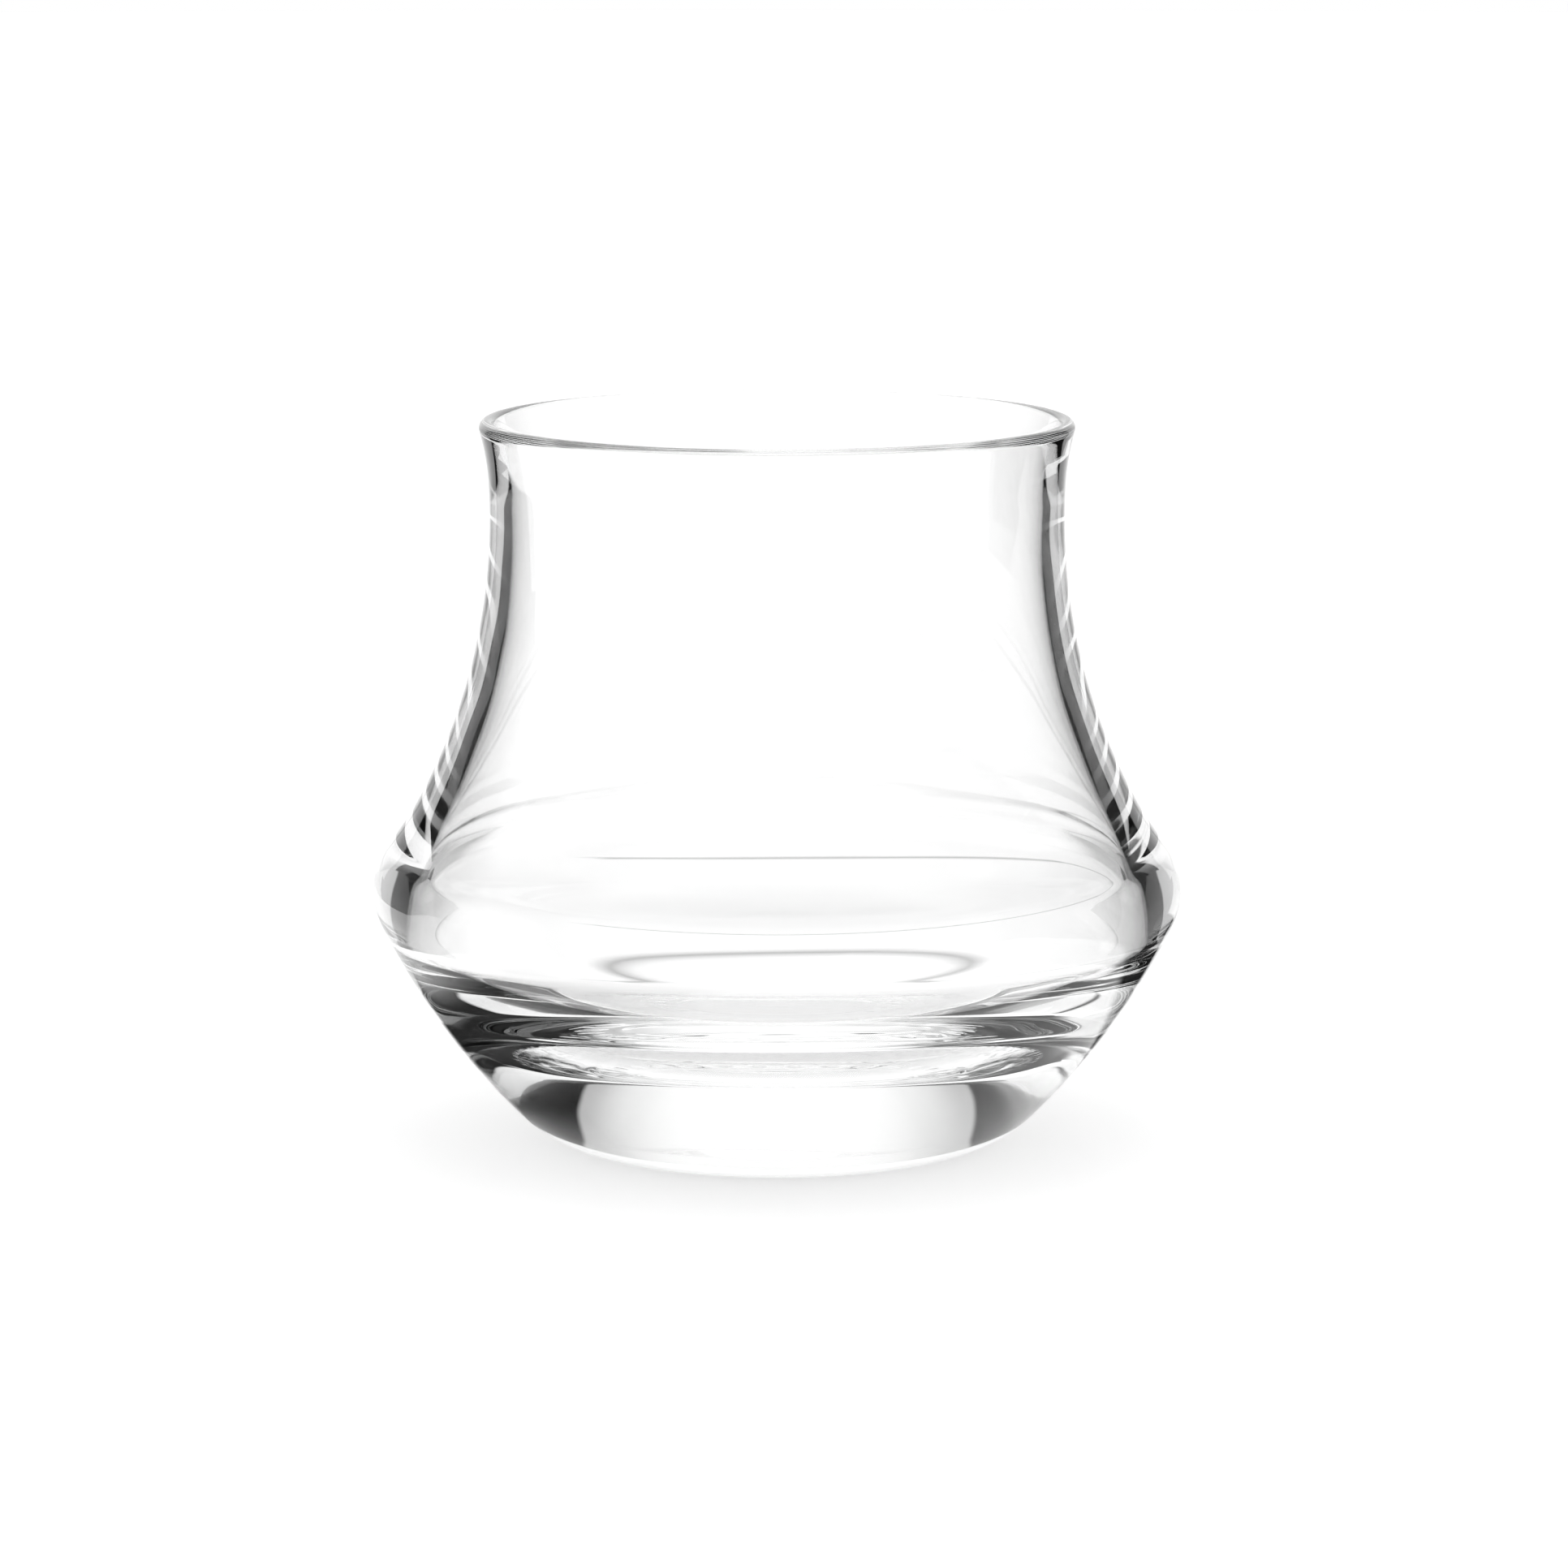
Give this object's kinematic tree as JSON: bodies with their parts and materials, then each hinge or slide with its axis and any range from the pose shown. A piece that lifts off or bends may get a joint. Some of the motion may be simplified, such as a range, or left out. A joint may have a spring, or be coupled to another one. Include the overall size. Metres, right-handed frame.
{
  "type": "whiskey tumbler",
  "caption": "Stout clear glass whiskey tumbler with a wide low belly, a narrower neck, a slightly flared rounded lip and a thick base.",
  "frame": {"origin": "centre of the resting ring, on the surface that the glass stands on", "axes": "+Z along the axis of the glass, out of its mouth; the body is turned about +Z, so +X and +Y are any two square directions"},
  "size_m": [0.095, 0.095, 0.085],
  "materials": {
    "clear_glass": "polished clear"
  },
  "bodies": {
    "root": {"tumbler_glass": "clear_glass"}
  },
  "joints": []
}
